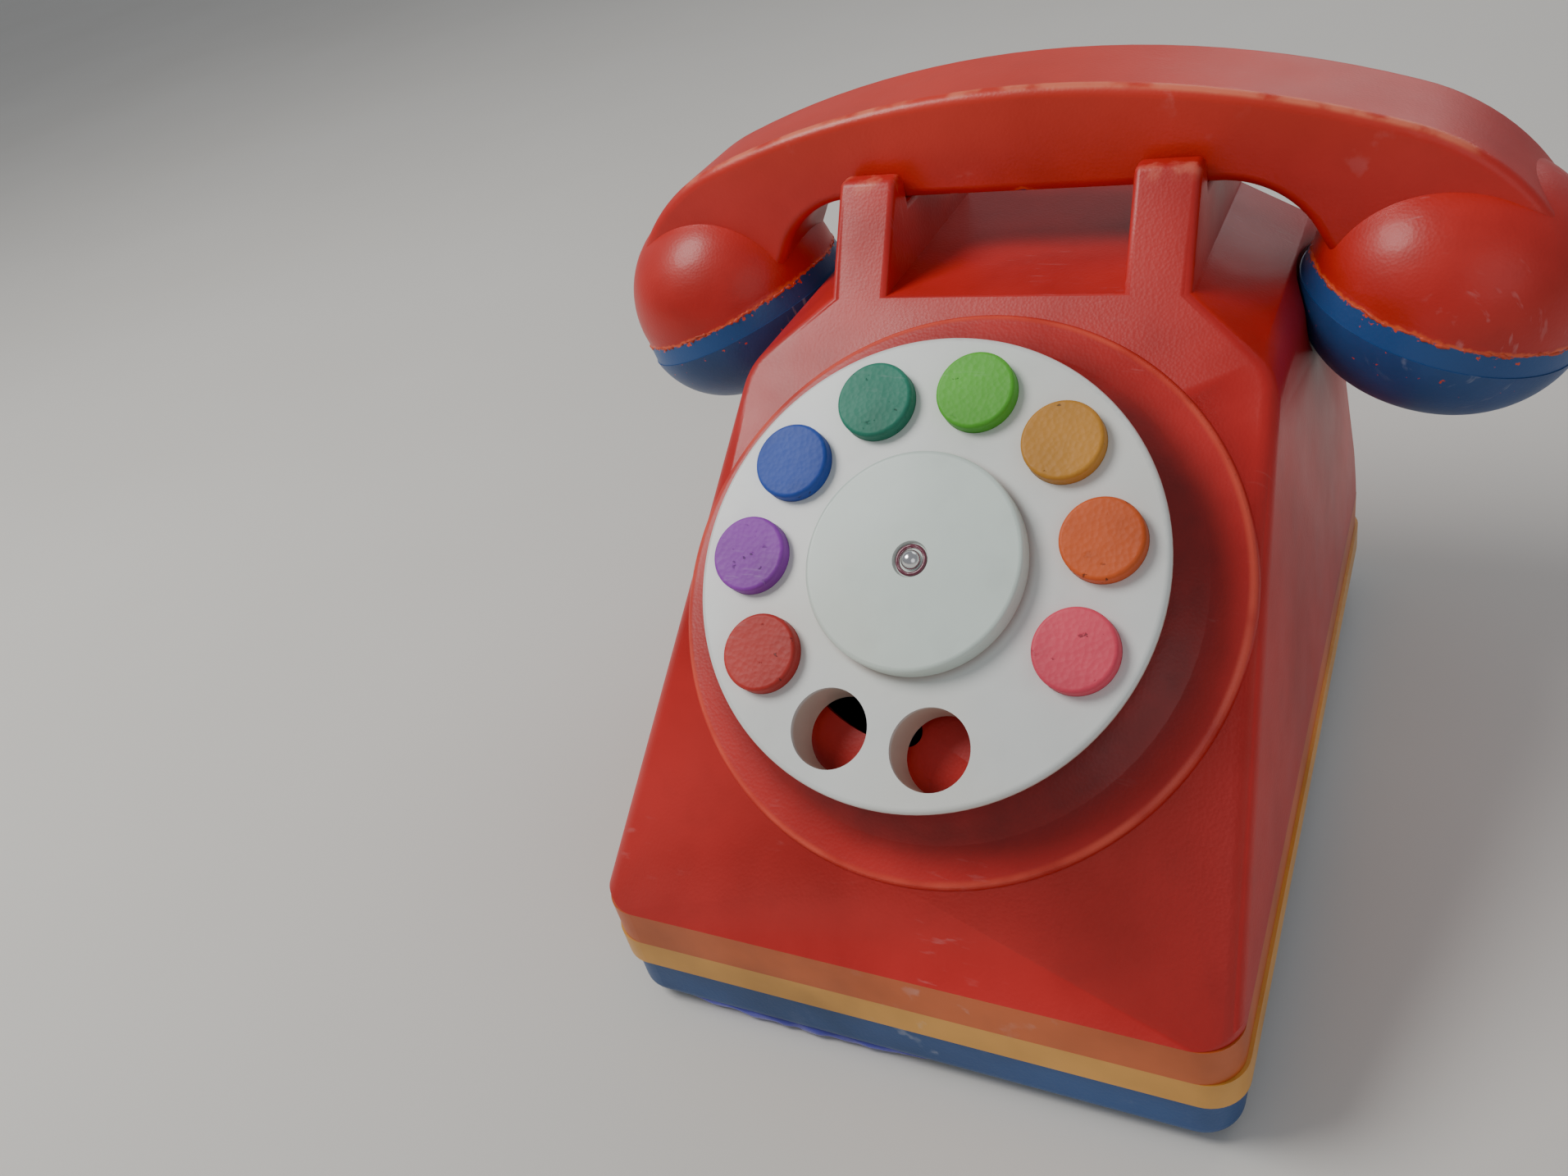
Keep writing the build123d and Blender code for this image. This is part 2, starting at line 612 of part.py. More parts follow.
with BuildPart() as hook_yoke:
    with BuildSketch(Plane.XY.offset(YOKE_Z)):
        with Locations((0, HANDSET_Y)):
            RectangleRounded(2 * PLUNGER_X + 10.0, 10.0, 3.0)
    extrude(amount=YOKE_THICK)
    with BuildSketch(Plane.XY.offset(YOKE_Z + YOKE_THICK)):
        with Locations((-PLUNGER_X, HANDSET_Y), (PLUNGER_X, HANDSET_Y)):
            Circle(PLUNGER_RADIUS)
    extrude(amount=SEAT_Z - YOKE_Z - YOKE_THICK)
    fillet(hook_yoke.faces().sort_by(Axis.Z)[-2:].edges(), radius=0.8)
save(hook_yoke, "hook_yoke")

with BuildPart() as hook_bracket:
    with BuildSketch(Plane.XY.offset(BRACKET_Z)):
        with Locations((0, HANDSET_Y)):
            Rectangle(88.0, 12.0)
    extrude(amount=2.0)
    with BuildSketch(Plane.XY.offset(BRACKET_Z + 2.0)):
        with Locations((-43.0, HANDSET_Y), (43.0, HANDSET_Y)):
            Rectangle(2.0, 12.0)
    extrude(amount=21.0)
save(hook_bracket, "hook_bracket")

with BuildPart() as hook_spring:
    with BuildSketch(Plane.XY.offset(BRACKET_Z + 2.0)):
        with Locations((0, HANDSET_Y)):
            Circle(4.0)
            Circle(3.0, mode=Mode.SUBTRACT)
    extrude(amount=YOKE_Z - BRACKET_Z - 2.0)
save(hook_spring, "hook_spring")

# ---------------------------------------------------------------- handset
BELL_HEIGHT = 31.0
BELL_CAVITY = 12.0
BELL_WALL = 4.0
HANDLE_END = 109.5            # where the handle's rounded end reaches, from the middle
GRIP_EASE = 2.4               # rounding of the handle's long edges

with BuildPart() as handset_handle:
    with BuildSketch(Plane.XZ.offset(-GRIP_BACK)):
        with BuildLine():
            Line((0, GRIP_BOTTOM), (42, GRIP_BOTTOM))
            ThreePointArc((42, GRIP_BOTTOM), (52.5, 127.2), (60.5, 118))
            Line((60.5, 118), (66, BELL_Z + 10))
            Line((66, BELL_Z + 10), (HANDLE_END, BELL_Z + 2))
            ThreePointArc((HANDLE_END, BELL_Z + 2), (98.5, 124.5), (76, 140))
            ThreePointArc((76, 140), (38.6, GRIP_TOP - 3.3), (0, GRIP_TOP))
            Line((0, GRIP_TOP), (0, GRIP_BOTTOM))
        make_face()
    extrude(amount=GRIP_WIDTH)
    upper = handset_handle.edges().filter_by(lambda e: e.center().Z > 113 and e.center().X > 1)
    fillet(upper.filter_by(lambda e: abs(e.tangent_at(0.5).Y) < 0.5), radius=GRIP_EASE)
    with BuildSketch(Plane.XY.offset(BELL_Z)):
        with Locations((0, HANDSET_Y)):
            SlotOverall(2 * HANDLE_END, GRIP_WIDTH)
    extrude(amount=GRIP_TOP, mode=Mode.INTERSECT)
    with BuildSketch(bell_section(1)):
        with BuildLine():
            Line((0, 0), (BELL_RADIUS, 0))
            Line((BELL_RADIUS, 0), (BELL_RADIUS - 0.6, 6.0))
            ThreePointArc((BELL_RADIUS - 0.6, 6.0), (20.8, 23.5), (0, BELL_HEIGHT))
            Line((0, BELL_HEIGHT), (0, 0))
        make_face()
    revolve(axis=bell_axis(1))
    with BuildSketch(bell_section(1)):
        with BuildLine():
            Polyline(
                (0, BELL_CAVITY), (BELL_RADIUS - BELL_WALL, BELL_CAVITY), (BELL_RADIUS - BELL_WALL, 0),
                (2 * BELL_RADIUS, 0), (2 * BELL_RADIUS, -CAP_DEPTH), (0, -CAP_DEPTH), close=True,
            )
        make_face()
    revolve(axis=bell_axis(1), mode=Mode.SUBTRACT)
    mirror(about=Plane.YZ)
save(handset_handle, "handset_handle")

SOUND_HOLE = 1.4
CAP_WALL = 2.4
for side, name in ((-1, "ear_cap"), (1, "mouth_cap")):
    with BuildPart() as cap:
        with BuildSketch(bell_section(side)):
            with BuildLine():
                spigot = BELL_RADIUS - BELL_WALL - 0.2
                Polyline((0, -CAP_DEPTH), (CAP_FLAT, -CAP_DEPTH))
                ThreePointArc((CAP_FLAT, -CAP_DEPTH), (0.78 * BELL_RADIUS, -0.7 * CAP_DEPTH), (BELL_RADIUS + 0.2, 0))
                Polyline(
                    (BELL_RADIUS + 0.2, 0), (spigot, 0), (spigot, 5.0), (spigot - 1.8, 5.0),
                    (spigot - 1.8, -3.0), (CAP_FLAT, CAP_WALL - CAP_DEPTH), (0, CAP_WALL - CAP_DEPTH),
                    (0, -CAP_DEPTH),
                )
            make_face()
        revolve(axis=bell_axis(side))
        under_cap = Plane(origin=bell_section(side).origin, x_dir=(0, 1, 0), z_dir=bell_axis(side).direction)
        with BuildSketch(under_cap.offset(-CAP_DEPTH - 1)):
            Circle(SOUND_HOLE)
            with PolarLocations(6.0, 6):
                Circle(SOUND_HOLE)
        extrude(amount=CAP_WALL + 2, mode=Mode.SUBTRACT)
    save(cap, name)
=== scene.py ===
"""The looks of a toy desk telephone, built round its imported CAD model.

Everything is in metres in the CAD frame: X right, Y back, Z up, with the dial facing -Y.
"""
import json
import logging
import math
from dataclasses import dataclass
from enum import Enum

import bmesh
import bpy
import numpy as np
from mathutils import Matrix, Quaternion, Vector

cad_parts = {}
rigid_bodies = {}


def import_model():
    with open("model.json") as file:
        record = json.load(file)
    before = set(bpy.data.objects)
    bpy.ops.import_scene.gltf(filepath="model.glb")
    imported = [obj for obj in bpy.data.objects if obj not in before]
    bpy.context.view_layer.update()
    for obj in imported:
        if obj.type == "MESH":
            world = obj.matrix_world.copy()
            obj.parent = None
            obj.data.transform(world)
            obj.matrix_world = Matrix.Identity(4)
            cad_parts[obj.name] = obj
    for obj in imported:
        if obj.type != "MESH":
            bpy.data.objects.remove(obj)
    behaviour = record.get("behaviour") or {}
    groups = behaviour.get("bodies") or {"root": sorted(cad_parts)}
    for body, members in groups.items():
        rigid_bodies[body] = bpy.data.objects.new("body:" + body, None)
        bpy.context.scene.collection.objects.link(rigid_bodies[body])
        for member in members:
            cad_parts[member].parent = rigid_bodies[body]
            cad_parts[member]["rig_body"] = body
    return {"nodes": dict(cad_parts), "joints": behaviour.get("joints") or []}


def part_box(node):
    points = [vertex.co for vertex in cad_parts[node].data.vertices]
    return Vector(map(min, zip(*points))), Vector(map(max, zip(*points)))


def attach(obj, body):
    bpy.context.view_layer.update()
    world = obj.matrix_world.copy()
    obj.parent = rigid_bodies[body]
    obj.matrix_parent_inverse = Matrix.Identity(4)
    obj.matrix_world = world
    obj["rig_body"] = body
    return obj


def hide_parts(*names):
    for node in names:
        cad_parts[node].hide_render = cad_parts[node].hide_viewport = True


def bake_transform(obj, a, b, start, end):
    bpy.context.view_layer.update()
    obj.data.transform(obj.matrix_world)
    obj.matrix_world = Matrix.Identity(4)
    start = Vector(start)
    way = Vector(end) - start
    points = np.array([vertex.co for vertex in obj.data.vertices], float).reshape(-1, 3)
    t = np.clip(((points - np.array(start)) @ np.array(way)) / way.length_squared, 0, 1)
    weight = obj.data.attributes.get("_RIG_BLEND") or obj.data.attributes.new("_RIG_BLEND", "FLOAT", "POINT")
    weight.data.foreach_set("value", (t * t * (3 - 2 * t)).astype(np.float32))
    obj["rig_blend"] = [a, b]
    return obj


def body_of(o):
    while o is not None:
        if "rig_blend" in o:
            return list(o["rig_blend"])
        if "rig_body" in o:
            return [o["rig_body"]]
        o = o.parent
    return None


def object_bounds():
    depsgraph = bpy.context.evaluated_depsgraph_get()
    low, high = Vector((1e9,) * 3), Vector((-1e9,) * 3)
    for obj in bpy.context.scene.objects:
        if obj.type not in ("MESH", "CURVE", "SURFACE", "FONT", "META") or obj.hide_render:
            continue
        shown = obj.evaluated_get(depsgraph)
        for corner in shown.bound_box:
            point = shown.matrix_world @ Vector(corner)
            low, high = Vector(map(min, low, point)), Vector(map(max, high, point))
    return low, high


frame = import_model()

CAD_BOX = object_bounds()
LOG = logging.getLogger("telephone")
MM = 0.001
Triple = tuple[float, float, float]

DIAL_JOINT = next(joint for joint in frame["joints"] if joint["name"] == "dial_turn")
DIAL_FOOT = tuple(DIAL_JOINT["pos_m"])
DIAL_OUT = tuple(-value for value in DIAL_JOINT["axis"])
BELL_RIM = (82.5 * MM, 56.0 * MM, 98.0 * MM)
BELL_TILT = math.radians(19.0)
BELL_UP = (math.sin(BELL_TILT), 0.0, math.cos(BELL_TILT))
BELL_RADIUS = 28.5 * MM
PAINT_LINE = 4.6 * MM      # where the handset's red paint ends, up the bell from the cap's joint
UPWARD = (0.0, 0.0, 1.0)
BACKWARD = (0.0, 1.0, 0.0)
SHARP_ANGLE = math.radians(28.0)


def srgb(red: int, green: int, blue: int) -> Triple:
    """Turn a colour on the usual 0 to 255 scale into the linear values that a shader takes.

    Args:
        red: Red, from 0 to 255.
        green: Green, from 0 to 255.
        blue: Blue, from 0 to 255.

    Returns:
        The three linear values, from 0 to 1.
    """
    parts = (value / 255 for value in (red, green, blue))
    return tuple(p / 12.92 if p <= 0.04045 else ((p + 0.055) / 1.055) ** 2.4 for p in parts)


CAP_COLOUR = srgb(30, 78, 138)


# ---------------------------------------------------------------- shader maths
class Wire:
    """One output of a node, which can be used in arithmetic: each operator adds a Math node."""

    def __init__(self, graph: "Graph", socket: bpy.types.NodeSocket) -> None:
        """Keep the graph that the socket belongs to.

        Args:
            graph: The material's graph.
            socket: The output that this wire starts from.
        """
        self.graph = graph
        self.socket = socket

    def _math(self, operation: str, *values: "Wire | float") -> "Wire":
        """Add a Math node on these values, in order."""
        return self.graph.add("ShaderNodeMath", {"operation": operation}, dict(enumerate(values)))

    def __add__(self, other: "Wire | float") -> "Wire":
        """Sum of the two."""
        return self._math("ADD", self, other)

    __radd__ = __add__

    def __sub__(self, other: "Wire | float") -> "Wire":
        """This less the other."""
        return self._math("SUBTRACT", self, other)

    def __rsub__(self, other: float) -> "Wire":
        """The other less this."""
        return self._math("SUBTRACT", other, self)

    def __mul__(self, other: "Wire | float") -> "Wire":
        """Product of the two."""
        return self._math("MULTIPLY", self, other)

    __rmul__ = __mul__

    def __pow__(self, other: "Wire | float") -> "Wire":
        """This to the power of the other."""
        return self._math("POWER", self, other)

    def size(self) -> "Wire":
        """The value without its sign."""
        return self._math("ABSOLUTE", self)

    def step(self, low: float, high: float) -> "Wire":
        """Rise smoothly from 0 at low to 1 at high, or fall where low is above high.

        Args:
            low: The value that gives 0.
            high: The value that gives 1.

        Returns:
            The eased mask.
        """
        start, end = (0.0, 1.0) if low < high else (1.0, 0.0)
        limits = {"Value": self, "From Min": min(low, high), "From Max": max(low, high)}
        settings = {"interpolation_type": "SMOOTHSTEP"}
        return self.graph.add("ShaderNodeMapRange", settings, {**limits, "To Min": start, "To Max": end})


class Graph:
    """A material's nodes, with one method that adds any node and a few for common patterns."""

    def __init__(self, name: str) -> None:
        """Start a material with a plain Principled shader.

        Args:
            name: The material's name.
        """
        self.material = bpy.data.materials.new(name)
        self.material.use_nodes = True
        self.tree = self.material.node_tree
        self.shader = next(node for node in self.tree.nodes if node.type == "BSDF_PRINCIPLED")
        self.place = self.add("ShaderNodeTexCoord", output="Object")

    def add(
        self,
        kind: str,
        settings: dict[str, object] | None = None,
        inputs: "dict[str | int, object] | None" = None,
        output: str | int = 0,
    ) -> Wire:
        """Add a node, set it up and join its inputs.

        Args:
            kind: The node's type.
            settings: Properties that are set first, such as a Math node's operation.
            inputs: Values or wires, by the socket's name or number.
            output: The name or number of the output that is wanted.

        Returns:
            A wire from that output.
        """
        node = self.tree.nodes.new(kind)
        for key, value in (settings or {}).items():
            setattr(node, key, value)
        for key, value in (inputs or {}).items():
            if isinstance(value, Wire):
                self.tree.links.new(value.socket, node.inputs[key])
            elif isinstance(value, tuple) and len(node.inputs[key].default_value) == 4:
                node.inputs[key].default_value = (*value, 1)
            else:
                node.inputs[key].default_value = value
        return Wire(self, node.outputs[output])

    def noise(self, scale: float, detail: float = 3.0, place: Wire | None = None) -> Wire:
        """Smooth noise from 0 to 1.

        Args:
            scale: Waves in a metre.
            detail: How many finer layers it has.
            place: Where it is read; the object's own coordinates if left out.

        Returns:
            The noise.
        """
        where = place or self.place
        return self.add("ShaderNodeTexNoise", {}, {"Vector": where, "Scale": scale, "Detail": detail})

    def cells(self, scale: float, feature: str = "F1") -> Wire:
        """Distance from the nearest of many scattered points, in cell widths.

        Args:
            scale: Cells in a metre.
            feature: Which distance is given, such as F1 or DISTANCE_TO_EDGE.

        Returns:
            The distance.
        """
        inputs = {"Vector": self.place, "Scale": scale}
        return self.add("ShaderNodeTexVoronoi", {"feature": feature}, inputs, "Distance")

    def stretched(self, scale: Triple, turn: Triple = (0.0, 0.0, 0.0)) -> Wire:
        """The object's coordinates, turned and then stretched along each axis."""
        return self.add("ShaderNodeMapping", {}, {"Vector": self.place, "Scale": scale, "Rotation": turn})

    def blend(self, share: "Wire | float", first: "Wire | Triple", second: "Wire | Triple") -> Wire:
        """Mix two colours.

        Args:
            share: How much of the second there is.
            first: The colour where the share is 0.
            second: The colour where the share is 1.

        Returns:
            The mixed colour.
        """
        return self.add("ShaderNodeMix", {"data_type": "RGBA"}, {0: share, 6: first, 7: second}, 2)

    def offset_from(self, origin: Triple, mirrored: bool = False) -> Wire:
        """The vector from a point to the surface, with X folded over the middle plane if mirrored.

        Args:
            origin: The point.
            mirrored: True where the left half repeats the right one.

        Returns:
            The vector.
        """
        place = self.place
        if mirrored:
            folded = {"X": self._part("X").size(), "Y": self._part("Y"), "Z": self._part("Z")}
            place = self.add("ShaderNodeCombineXYZ", {}, folded)
        return self.add("ShaderNodeVectorMath", {"operation": "SUBTRACT"}, {0: place, 1: origin})

    def _part(self, axis: str) -> Wire:
        """One of the object's coordinates."""
        return self.add("ShaderNodeSeparateXYZ", {}, {0: self.place}, axis)

    def along(self, offset: Wire, direction: Triple) -> Wire:
        """How far an offset reaches along a direction."""
        inputs = {0: offset, 1: direction}
        return self.add("ShaderNodeVectorMath", {"operation": "DOT_PRODUCT"}, inputs, "Value")

    def round_an_axis(self, offset: Wire, direction: Triple) -> Wire:
        """Distance from the axis through the offset's origin: the root of its length squared less its
        reach along the axis squared."""
        length = self.add("ShaderNodeVectorMath", {"operation": "LENGTH"}, {0: offset}, "Value")
        return (length * length - self.along(offset, direction) ** 2) ** 0.5

    def finish(self, values: dict[str, object]) -> bpy.types.Material:
        """Join or set the shader's sockets and hand back the material.

        Args:
            values: Wires or plain values, by socket name.

        Returns:
            The material.
        """
        for key, value in values.items():
            socket = self.shader.inputs[key]
            if isinstance(value, Wire):
                self.tree.links.new(value.socket, socket)
            elif isinstance(value, tuple):
                socket.default_value = (*value, 1)
            else:
                socket.default_value = value
        return self.material


class Grain(Enum):
    """Fine relief of a moulded surface: waves in a metre, and the height of the relief."""

    SMOOTH = (380.0, 0.03)
    LEATHER = (1500.0, 0.11)
    ROUGH = (950.0, 0.30)


# ---------------------------------------------------------------- finishes
@dataclass(frozen=True)
class Plastic:
    """Moulded plastic with wandering colour, grime, pale scuffs, pits and a fine relief."""

    name: str
    colour: Triple
    roughness: float = 0.38
    mottle: float = 0.10
    grime: float = 0.12
    scuffs: float = 0.25
    pits: float = 0.0
    grain: Grain = Grain.SMOOTH
    coat: float = 0.0

    def marks(self, graph: Graph, colour: Wire) -> Wire:
        """Add the marks that only some pieces have; plain plastic has none."""
        return colour

    def build(self) -> bpy.types.Material:
        """Make the material.

        Returns:
            The finished material.
        """
        graph = Graph(self.name)
        dark = tuple(value * (1 - 2.2 * self.mottle) for value in self.colour)
        light = tuple(min(1.0, value * (1 + self.mottle) + 0.1 * self.mottle) for value in self.colour)
        colour = graph.blend(graph.noise(28.0, 4.0).step(0.25, 0.75), dark, light)
        soot = graph.noise(95.0, 6.0).step(0.52, 0.80) * self.grime
        colour = graph.blend(soot, colour, tuple(0.32 * value for value in self.colour))
        strokes = graph.noise(150.0, 5.0, graph.stretched((1.0, 7.0, 1.0), (0.3, 0.2, 0.7)))
        patches = graph.noise(40.0, 2.0).step(0.50, 0.72)
        scuff = strokes.step(0.60, 0.70) * patches * self.scuffs
        pale = tuple(0.45 * value + 0.42 for value in self.colour)
        colour = graph.blend(scuff, colour, pale)
        nicks = graph.noise(420.0, 6.0, graph.stretched((1.0, 1.6, 1.0), (0.2, 0.5, 0.9)))
        pit = nicks.step(0.66, 0.70) * graph.noise(120.0, 2.0).step(0.44, 0.56) * self.pits
        colour = graph.blend(pit, colour, tuple(0.22 * value for value in self.colour))
        colour = self.marks(graph, colour)
        scale, height = self.grain.value
        relief = graph.cells(scale) * 0.6 + graph.noise(scale * 0.45, 3.0) * 0.4 - pit * 1.6
        settings = {"Height": relief, "Strength": height, "Distance": 0.4 * MM}
        normal = graph.add("ShaderNodeBump", {}, settings)
        roughness = graph.noise(70.0, 4.0) * 0.16 + scuff * 0.3 + (self.roughness - 0.08)
        values = {"Base Color": colour, "Roughness": roughness, "Normal": normal, "Coat Weight": self.coat}
        return graph.finish({**values, "Coat Roughness": 0.12, "IOR": 1.48})


@dataclass(frozen=True)
class DishedRed(Plastic):
    """The housing's red, with painted shade in the dish under the dial, a painted highlight on the round lip
    and paler cradle tops.
    """

    # Radii where the painted shade under the dial starts, is full, and fades out towards the seat
    dish_start: float = 57.5 * MM
    dish_dark: float = 49.0 * MM
    seat_unshaded: float = 38.0 * MM
    seat_dark: float = 44.0 * MM
    lip_reach: float = 58.9 * MM
    prong_pale_start: float = 134.0 * MM
    prong_top: float = 137.5 * MM

    def marks(self, graph: Graph, colour: Wire) -> Wire:
        """Paint shade into the dish towards the dial, paint a highlight along the round lip, and make the
        cradle's tops paler.

        Args:
            graph: The material's graph.
            colour: The colour so far.

        Returns:
            The marked colour.
        """
        offset = graph.offset_from(DIAL_FOOT)
        reach = graph.round_an_axis(offset, DIAL_OUT)
        height = graph.along(offset, DIAL_OUT)
        # painted shade: a noisy ring of the dish under the dial is darkened, between the seat and the lip
        ring = reach.step(self.dish_start, self.dish_dark) * reach.step(self.seat_unshaded, self.seat_dark)
        dish = ring * height.step(0.1 * MM, 1.2 * MM) * (graph.noise(180.0, 5.0) * 0.5 + 0.45)
        colour = graph.blend(dish, colour, tuple(0.30 * value for value in self.colour))
        # painted highlight: the lip's crest is painted pale, broken up with noise
        lip = (reach - self.lip_reach).size().step(1.2 * MM, 0.2 * MM) * height.step(0.2 * MM, 0.9 * MM)
        lip_sheen = lip * graph.noise(60.0, 3.0).step(0.2, 0.6) * 0.55
        colour = graph.blend(lip_sheen, colour, srgb(244, 104, 78))
        # The cradle's tops above 134 mm are made paler in noisy patches.
        tops = graph.along(graph.place, UPWARD).step(self.prong_pale_start, self.prong_top)
        pale_tops = tops * graph.noise(240.0, 4.0).step(0.45, 0.65) * 0.5
        return graph.blend(pale_tops, colour, srgb(238, 126, 100))


@dataclass(frozen=True)
class HandleRed(Plastic):
    """The handset's red paint, with painted highlights on its top and along the grip's edge, ending in a
    chipped line on the bells.
    """

    edge_back: float = 43.9 * MM

    def marks(self, graph: Graph, colour: Wire) -> Wire:
        """Add the painted highlight along the top front edge, the painted warm highlight on the top, and the
        paint's ragged end with the blue below it.

        Args:
            graph: The material's graph.
            colour: The colour so far.

        Returns:
            The marked colour.
        """
        back = graph.along(graph.place, BACKWARD)
        height = graph.along(graph.place, UPWARD)
        # painted highlight: the handset's top is made warmer and lighter towards its highest part
        top = height.step(128.0 * MM, 150.0 * MM) * 0.4
        colour = graph.blend(top, colour, srgb(226, 64, 34))
        # painted highlight along the grip's top front edge, broken into patches like scuffs
        edge = (back - self.edge_back).size().step(1.1 * MM, 0.4 * MM)
        edge = edge * height.step(130.0 * MM, 137.0 * MM) * graph.noise(130.0, 5.0).step(0.36, 0.58)
        colour = graph.blend(edge * 0.6, colour, srgb(247, 142, 108))
        rise = graph.along(graph.offset_from(BELL_RIM, mirrored=True), BELL_UP)
        wander = (graph.noise(90.0, 5.0) - 0.5) * (1.6 * MM) + (graph.noise(700.0, 3.0) - 0.5) * (1.4 * MM)
        line = rise + wander - PAINT_LINE
        colour = graph.blend(line.size().step(0.9 * MM, 0.3 * MM) * 0.8, colour, srgb(232, 98, 48))
        flecks = (graph.noise(620.0, 6.0) + line.step(-2.4 * MM, 0.0) * 0.14).step(0.70, 0.73)
        below = graph.blend(flecks, CAP_COLOUR, srgb(222, 74, 38))
        return graph.blend(line.step(0.15 * MM, -0.15 * MM), colour, below)


@dataclass(frozen=True)
class CapBlue(Plastic):
    """The caps' blue, with a few crumbs of the handset's paint."""

    def marks(self, graph: Graph, colour: Wire) -> Wire:
        """Add orange-red crumbs that thin out away from the bell.

        Args:
            graph: The material's graph.
            colour: The colour so far.

        Returns:
            The marked colour.
        """
        rise = graph.along(graph.offset_from(BELL_RIM, mirrored=True), BELL_UP)
        crumbs = (graph.noise(620.0, 6.0) + rise.step(-9.0 * MM, 0.0) * 0.03).step(0.71, 0.74)
        return graph.blend(crumbs, colour, srgb(222, 74, 38))


@dataclass(frozen=True)
class DialWhite(Plastic):
    """The dial's white, yellowed, with painted shade round the hub's foot and a painted tan shade on the
    walls below its face.
    """

    hub_radius: float = 21.7 * MM
    # Heights over which the painted shade at the hub's foot and the painted tan shade below the face fade in
    hub_shade: tuple[float, float] = (18.6 * MM, 18.1 * MM)
    collar_shade: tuple[float, float] = (17.4 * MM, 16.4 * MM)

    def marks(self, graph: Graph, colour: Wire) -> Wire:
        """Add the painted shade round the hub's foot, the painted tan shade below the face and the yellowed
        patches.

        Args:
            graph: The material's graph.
            colour: The colour so far.

        Returns:
            The marked colour.
        """
        offset = graph.offset_from(DIAL_FOOT)
        reach = graph.round_an_axis(offset, DIAL_OUT)
        height = graph.along(offset, DIAL_OUT)
        colour = graph.blend(graph.noise(22.0, 3.0).step(0.45, 0.8) * 0.35, colour, srgb(214, 208, 190))
        # painted shade: a darker reddish band round the hub's foot, where it meets the dial
        hub = reach.step(self.hub_radius + 1.6 * MM, self.hub_radius) * height.step(*self.hub_shade)
        colour = graph.blend(hub * 0.5, colour, srgb(150, 120, 110))
        # painted shade: everything below the dial's face, such as the finger holes' walls, is tinted a
        # shaded tan
        rim = height.step(*self.collar_shade)
        return graph.blend(rim * 0.5, colour, srgb(186, 150, 118))


class MetalLook(Enum):
    """How a metal piece is finished: its roughness and how strongly it is brushed."""

    POLISHED = (0.10, 0.02)
    STAMPED = (0.34, 0.12)


@dataclass(frozen=True)
class Metal:
    """Bare metal with fine brushing, small stains and dents."""

    name: str
    colour: Triple
    look: MetalLook = MetalLook.STAMPED

    def build(self) -> bpy.types.Material:
        """Make the material.

        Returns:
            The finished material.
        """
        graph = Graph(self.name)
        roughness, brushing = self.look.value
        strokes = graph.noise(600.0, 3.0, graph.stretched((1.0, 12.0, 1.0)))
        stain = graph.noise(240.0, 5.0).step(0.56, 0.76)
        colour = graph.blend(stain * 0.5, self.colour, tuple(0.5 * value for value in self.colour))
        relief = {"Height": strokes + graph.noise(900.0, 2.0), "Strength": brushing, "Distance": 0.2 * MM}
        values = {
            "Base Color": colour,
            "Metallic": 1.0,
            "Roughness": strokes * 0.12 + stain * 0.2 + roughness,
            "Normal": graph.add("ShaderNodeBump", {}, relief),
        }
        return graph.finish(values)


@dataclass(frozen=True)
class Board:
    """The sound board's green lacquer over copper tracks."""

    name: str

    def build(self) -> bpy.types.Material:
        """Make the material.

        Returns:
            The finished material.
        """
        graph = Graph(self.name)
        tracks = graph.cells(140.0, "DISTANCE_TO_EDGE").step(0.10, 0.05)
        colour = graph.blend(tracks * 0.7, srgb(22, 92, 48), srgb(60, 140, 74))
        colour = graph.blend(graph.noise(60.0, 4.0) * 0.3, colour, srgb(10, 52, 28))
        relief = {"Height": tracks, "Strength": 0.2, "Distance": 0.1 * MM}
        values = {"Base Color": colour, "Roughness": graph.noise(90.0, 3.0) * 0.2 + 0.25}
        return graph.finish({**values, "Normal": graph.add("ShaderNodeBump", {}, relief), "IOR": 1.52})


# ---------------------------------------------------------------- mesh helpers
def surface(name: str, points: np.ndarray, wrap_rows: bool, wrap_columns: bool) -> bpy.types.Object:
    """Make a smooth mesh from a grid of points.

    Each cell of the grid becomes a face with the corners (i, j), (i, j+1), (i+1, j+1) and (i+1, j). The
    volume is the sum of the signed tetrahedra from the grid's middle to each face, and the corners'
    order is turned round where it is negative, so that the faces point outwards.

    Args:
        name: The piece's name.
        points: An array of rows, columns and three coordinates.
        wrap_rows: True where the last row joins the first.
        wrap_columns: True where the last column joins the first.

    Returns:
        The new object, linked to the scene.
    """
    rows, columns = points.shape[:2]
    row = np.arange(rows if wrap_rows else rows - 1)[:, None]
    column = np.arange(columns if wrap_columns else columns - 1)[None, :]
    next_row = (row + 1) % rows
    next_column = (column + 1) % columns
    corners = (
        row * columns + column,
        row * columns + next_column,
        next_row * columns + next_column,
        next_row * columns + column,
    )
    faces = np.stack([np.broadcast_to(c, (row.size, column.size)) for c in corners], -1).reshape(-1, 4)
    flat = points.reshape(-1, 3)
    first, second, third, fourth = (flat[faces[:, corner]] - flat.mean(axis=0) for corner in range(4))
    volume = np.sum(first * np.cross(second, third)) + np.sum(first * np.cross(third, fourth))
    if volume < 0:
        faces = faces[:, ::-1]
    mesh = bpy.data.meshes.new(name)
    mesh.from_pydata(flat.tolist(), [], faces.tolist())
    mesh.polygons.foreach_set("use_smooth", np.ones(len(faces), bool))
    mesh.update()
    piece = bpy.data.objects.new(name, mesh)
    bpy.context.scene.collection.objects.link(piece)
    return piece


def dress(piece: bpy.types.Object, material: bpy.types.Material) -> None:
    """Give every slot of a piece the same material.

    Args:
        piece: The object.
        material: Its material.
    """
    if not piece.data.materials:
        piece.data.materials.append(material)
    for index in range(len(piece.data.materials)):
        piece.data.materials[index] = material
    LOG.info("%s wears %s", piece.name, material.name)


